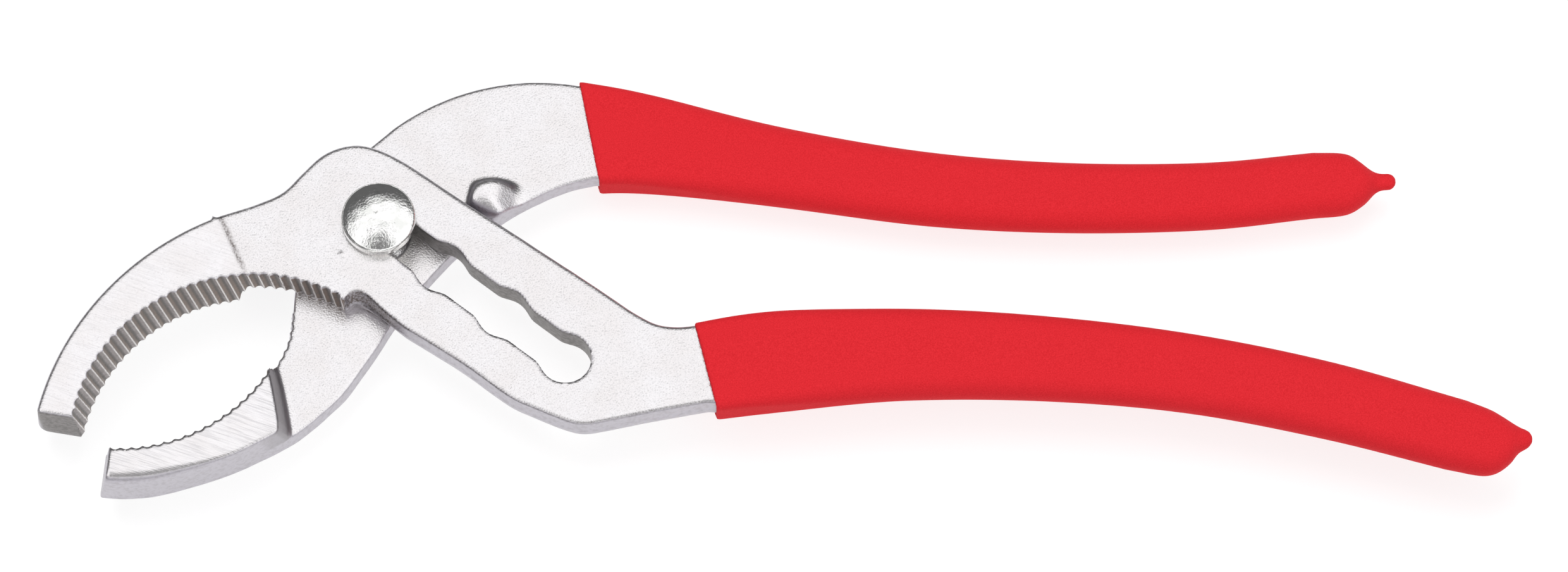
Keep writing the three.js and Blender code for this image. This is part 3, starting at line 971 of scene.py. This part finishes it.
def tooth_colour_and_painted_light(n, stain):
    """Brownish and darker on one flank, blue-grey on the other: painted shade and light on the flanks.
    Painted shade with some grime in the valley, and a painted highlight on the crest.
    """
    phase = n.attribute("phase")
    second_flank = n.range(n.math("FRACT", phase, 0.0), 0.42, 0.58, 0, 1)
    in_valley = n.math("ABSOLUTE", n.math("SINE", n.math("MULTIPLY", phase, math.pi), 0.0), 0.0)
    tooth = n.mix(second_flank, *LIT_AND_SHADED_FLANKS)
    tooth = n.mix(n.range(stain, 0.35, 0.7, 0, 0.7), tooth, FLANK_STAIN)
    tooth = n.mix(n.range(in_valley, 0.80, 1.0, 0, 0.8), tooth, VALLEY_GRIME_AND_SHADE)
    return n.mix(n.range(in_valley, 0.34, 0.05, 0, 0.85), tooth, CREST_HIGHLIGHT)


def steel_material():
    """Plated forging: blasted faces, brushed where ground, darker on cut and toothed surfaces; the teeth
    carry painted light and shade, and some edges and a crease carry painted shade.
    """
    n = Nodes("plated_forging")
    side, toothed, cut, ground = (n.attribute(a) for a in ("side", "toothed", "cut", "ground"))
    grain = n.noise(0.3, 3)
    patches = n.noise(6.0, 2)
    brushed = n.noise(0.2, 3, stretch=26, turn=-20)
    stain = n.noise(0.7, 4)
    blasted = n.math("SUBTRACT", 1.0, ground)

    colour = n.mix(n.range(patches, 0.35, 0.65, 0, 1), *FACE)
    colour = n.mix(n.math("MULTIPLY", n.range(grain, 0.30, 0.46, 0.4, 0.0), blasted), colour, PIT)
    colour = n.mix(n.math("MULTIPLY", n.range(brushed, 0.36, 0.52, 0.55, 0.0), ground), colour, STREAK)
    colour = n.mix(side, colour, n.mix(n.range(stain, 0.35, 0.55, 0, 1), *SIDE))
    # scored marks and painted shade, broken up by noise
    marks = n.math("MULTIPLY", n.attribute("scored_and_shaded"), n.range(n.noise(0.35, 3), 0.40, 0.56, 1.0, 0.4))
    colour = n.mix(marks, colour, MARK_AND_SHADE)
    colour = n.mix(cut, colour, n.mix(n.range(stain, 0.4, 0.65, 0, 1), *CUT))
    # the teeth's colours include painted light and shade
    colour = n.mix(toothed, colour, tooth_colour_and_painted_light(n, stain))

    normal = n.bump(n.math("MULTIPLY", grain, blasted), 0.06)
    normal = n.bump(n.math("MULTIPLY", brushed, ground), 0.04, normal)
    roughness = n.math("ADD", 0.24, n.math("MULTIPLY", side, 0.16))
    n.surface(Base_Color=colour, Metallic=1.0, Roughness=roughness, Normal=normal)
    return n.material


def pin_material():
    """Bright plated pin, slightly uneven."""
    n = Nodes("bright_pin")
    colour = n.mix(n.range(n.noise(2.2, 3), 0.36, 0.52, 0, 1), *PIN)
    normal = n.bump(n.noise(2.6, 1), 0.05)
    normal = n.bump(n.noise(0.35, 3), 0.05, normal)
    n.surface(Base_Color=colour, Metallic=1.0, Roughness=0.08, Normal=normal)
    return n.material


def grip_material():
    """Dipped soft plastic with a fine orange-peel skin."""
    n = Nodes("dipped_plastic")
    colour = n.mix(n.range(n.noise(0.2, 2), 0.3, 0.7, 0, 1), *RED)
    normal = n.bump(n.noise(0.24, 2), 0.035)
    n.surface(Base_Color=colour, Roughness=0.5, IOR=1.5, Specular_IOR_Level=0.02, Normal=normal)
    return n.material


def table_material():
    """Plain white table that gives some light of its own, so that shadows on it are faint."""
    n = Nodes("white_table")
    n.surface(Base_Color=(0.28, 0.28, 0.28, 1), Roughness=0.9, Metallic=0.0,
              Emission_Color=(1, 1, 1, 1), Emission_Strength=0.78)
    return n.material


materials = {"steel": steel_material(), "pin": pin_material(), "grip": grip_material()}

slotted_lever()
rear_lever()
dipped_grip("slotted_lever_dip", LOWER_GRIP, "slotted_side", "slotted_lever_grip")
dipped_grip("rear_lever_dip", UPPER_GRIP, "rear_side", "rear_lever_grip")
pivot_bolt()
pivot_nut()

# ---------------------------------------------------------------- floor and camera

TARGET = Vector((67.8, -9.28, MIDDLE)) * MM
TILT = math.radians(20)
DISTANCE = 1.6
SENSOR = 36.0
VIEW_WIDTH = 262.9 * MM  # width of the camera's view at the target
FLOOR_HALF = 3.0


def white_floor():
    corners = [(x * FLOOR_HALF, y * FLOOR_HALF, 0) for x, y in ((-1, -1), (1, -1), (1, 1), (-1, 1))]
    mesh = bpy.data.meshes.new("floor")
    mesh.from_pydata(corners, [], [(0, 1, 2, 3)])
    floor = bpy.data.objects.new("floor", mesh)
    bpy.context.scene.collection.objects.link(floor)
    floor.data.materials.append(table_material())


def tilted_camera():
    """Camera in front of the target and TILT from straight above it."""
    data = bpy.data.cameras.new("camera")
    data.sensor_width = SENSOR
    data.lens = SENSOR * DISTANCE / VIEW_WIDTH
    data.clip_end = 20
    camera = bpy.data.objects.new("camera", data)
    camera.location = TARGET + Vector((0, -math.sin(TILT), math.cos(TILT))) * DISTANCE
    camera.rotation_euler = (TILT, 0, 0)
    bpy.context.scene.collection.objects.link(camera)
    bpy.context.scene.camera = camera


white_floor()
tilted_camera()

# ---------------------------------------------------------------- light

SUN_STRENGTH = 1.35
SUN_SPREAD = math.radians(40)  # wide, so that its shadows are soft
SUN_TURN = (math.radians(-20), math.radians(-8), 0)

TENT_COLOUR = (0.99, 0.985, 1.0, 1)
ROOF_TOWARDS = (0.2, -0.35, 1.0)  # the bright roof lies around this direction
ROOF_EDGE = (0.47, 0.68)  # measured along it: the walls end at the first, the roof is full from the second
ROOF_LIGHT = 1.13
WALL_LIGHT = 0.12
OPENING_LIGHT = 0.2  # what is left of the roof's light in the opening
OPENING_EDGE = (0.04, 0.12)
OPENING_SPREAD = 0.46  # how fast the opening widens towards the front
OPENING_FOOT = (0.80, 0.60)  # going down, it closes from the first height to the second


def soft_sun():
    """Wide sun for the matt surfaces; the metal mirrors the tent alone."""
    light = bpy.data.lights.new("fill", "SUN")
    light.energy = SUN_STRENGTH
    light.angle = SUN_SPREAD
    lamp = bpy.data.objects.new("fill", light)
    lamp.rotation_euler = SUN_TURN
    lamp.visible_glossy = False
    bpy.context.scene.collection.objects.link(lamp)


class Tent:
    """Light tent as a world: bright overhead, dim low down and in an opening towards the front."""

    def __init__(self):
        self.world = bpy.data.worlds.new("light_tent")
        self.world.use_nodes = True
        self.tree = self.world.node_tree

    def node(self, kind, inputs, **settings):
        """Node with its inputs linked or set."""
        node = self.tree.nodes.new(kind)
        for key, value in settings.items():
            setattr(node, key, value)
        for socket, value in inputs.items():
            if isinstance(value, bpy.types.NodeSocket):
                self.tree.links.new(value, node.inputs[socket])
            else:
                node.inputs[socket].default_value = value
        return node

    def math(self, operation, *values):
        return self.node("ShaderNodeMath", dict(enumerate(values)), operation=operation).outputs[0]

    def step(self, value, low, high, before, after):
        inputs = {"Value": value, "From Min": low, "From Max": high, "To Min": before, "To Max": after}
        return self.node("ShaderNodeMapRange", inputs, interpolation_type="SMOOTHSTEP").outputs["Result"]

    def light(self):
        direction = self.tree.nodes.new("ShaderNodeTexCoord").outputs["Generated"]
        split = self.node("ShaderNodeSeparateXYZ", {0: direction})
        both = {0: direction, 1: ROOF_TOWARDS}
        towards = self.node("ShaderNodeVectorMath", both, operation="DOT_PRODUCT")
        overhead = self.step(towards.outputs["Value"], *ROOF_EDGE, WALL_LIGHT, ROOF_LIGHT)
        aside = self.math("ABSOLUTE", split.outputs["X"])
        past_opening = self.math("MULTIPLY_ADD", split.outputs["Y"], OPENING_SPREAD, aside)
        past_foot = self.step(split.outputs["Z"], *OPENING_FOOT, 0.0, 0.6)
        past_opening = self.math("ADD", past_opening, past_foot)
        opening = self.step(past_opening, *OPENING_EDGE, OPENING_LIGHT, 1.0)
        background = self.tree.nodes["Background"]
        self.tree.links.new(self.math("MULTIPLY", overhead, opening), background.inputs["Strength"])
        background.inputs["Color"].default_value = TENT_COLOUR
        bpy.context.scene.world = self.world


soft_sun()
Tent().light()
bpy.context.scene.view_settings.view_transform = "Standard"
